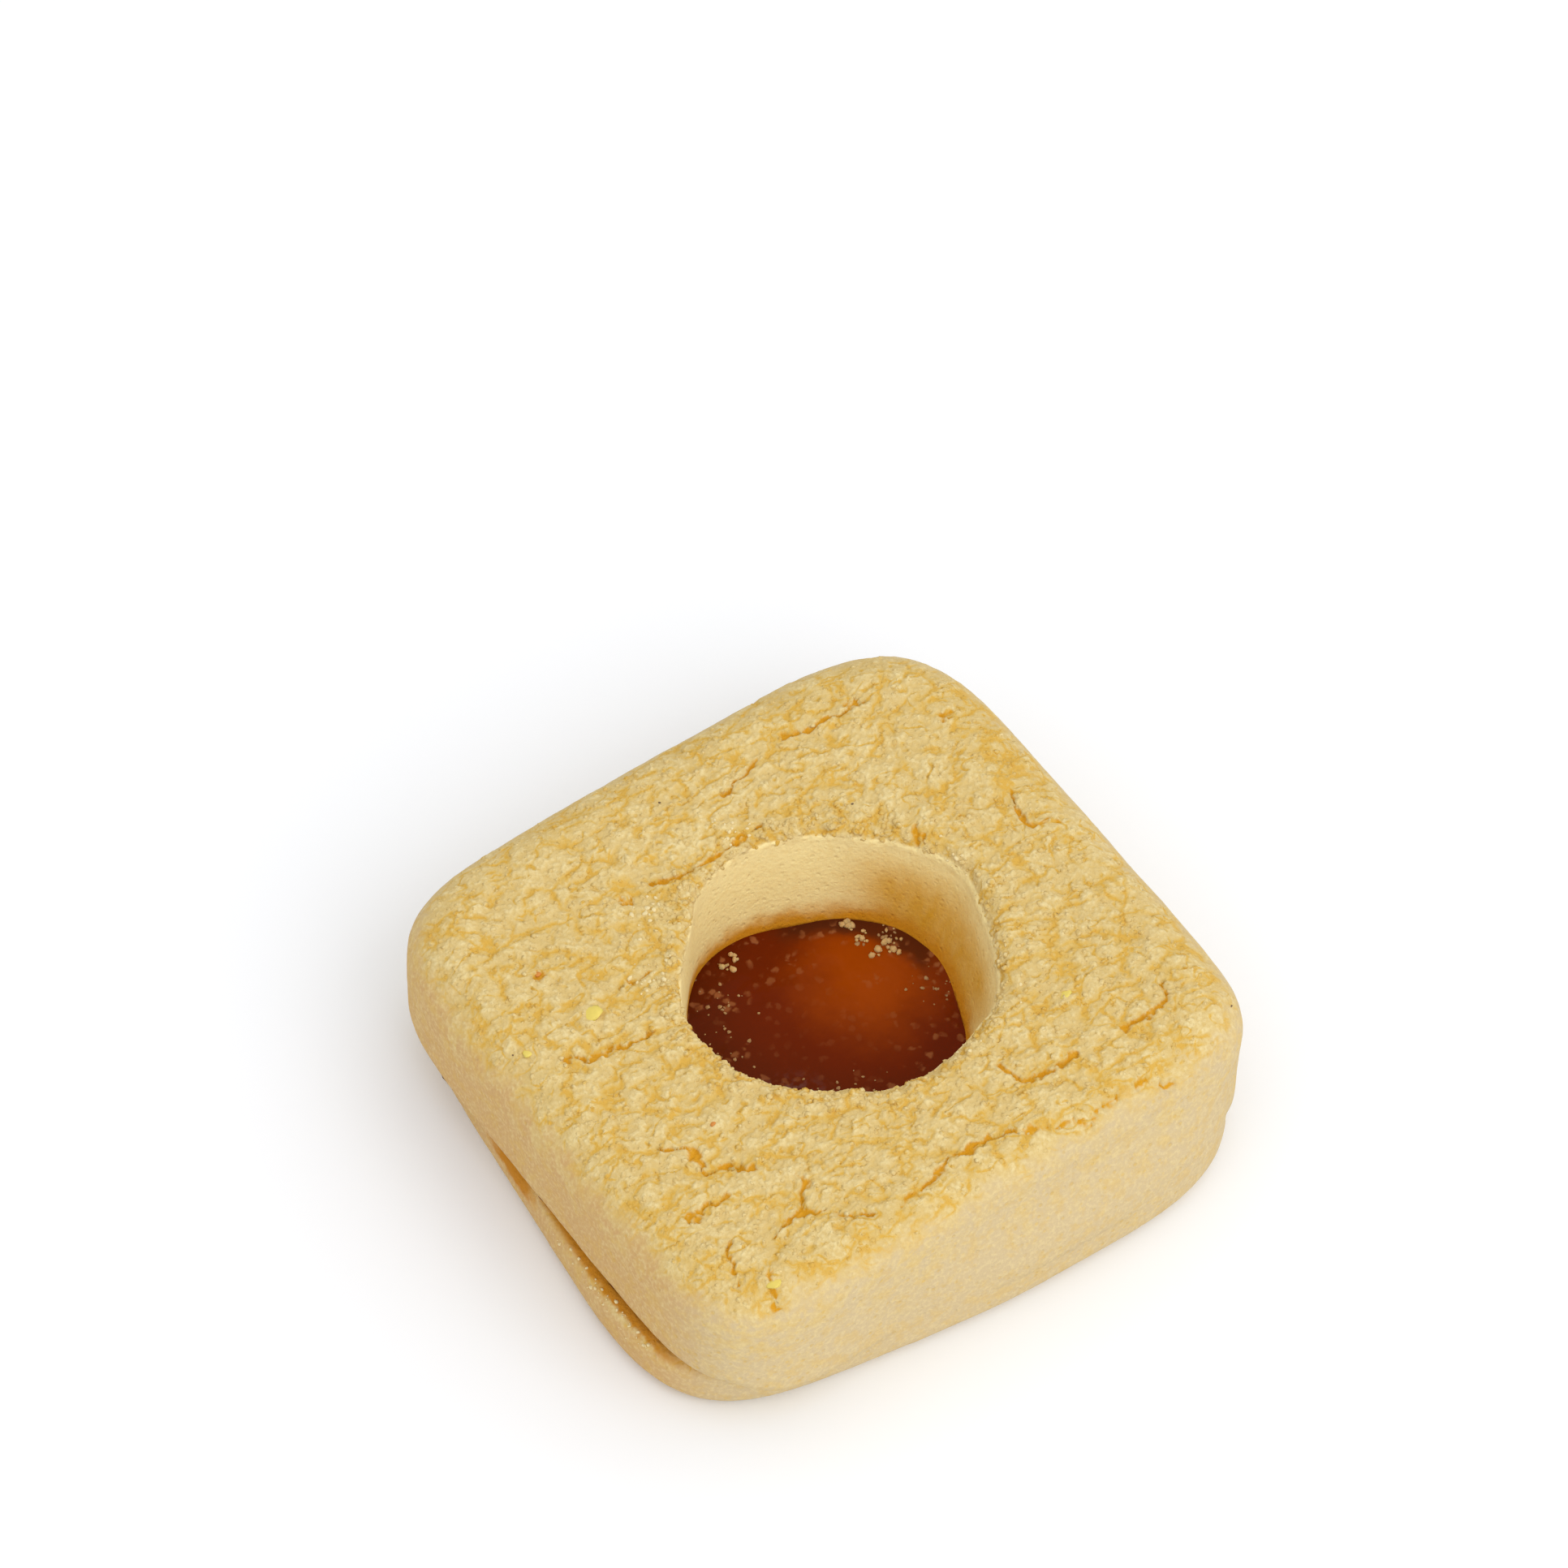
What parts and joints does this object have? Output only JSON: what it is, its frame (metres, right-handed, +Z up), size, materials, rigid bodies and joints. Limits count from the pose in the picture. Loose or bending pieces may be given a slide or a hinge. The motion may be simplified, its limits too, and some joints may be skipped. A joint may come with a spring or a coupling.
{
  "type": "apricot filled biscuit",
  "caption": "Square shortbread sandwich biscuit with rounded corners, a cracked crumbly top and a round well that shows glossy apricot jam.",
  "frame": {"origin": "on the floor, under the middle of the biscuit's bounding box", "axes": "+Z up through the layers, +X and +Y along the sides of the top biscuit; -X is the side where the jam shows in the seam and -Y the side with the long crack"},
  "size_m": [0.0642, 0.06, 0.0186],
  "materials": {
    "shortbread": "matte, crumbly baked shortbread, pale yellow with golden cracks",
    "apricot_jam": "glossy, translucent dark amber jam",
    "shortbread_base": "matte baked shortbread, tan"
  },
  "bodies": {
    "root": {"top_biscuit": "shortbread", "jam_filling": "apricot_jam", "base_biscuit": "shortbread_base"}
  },
  "joints": []
}
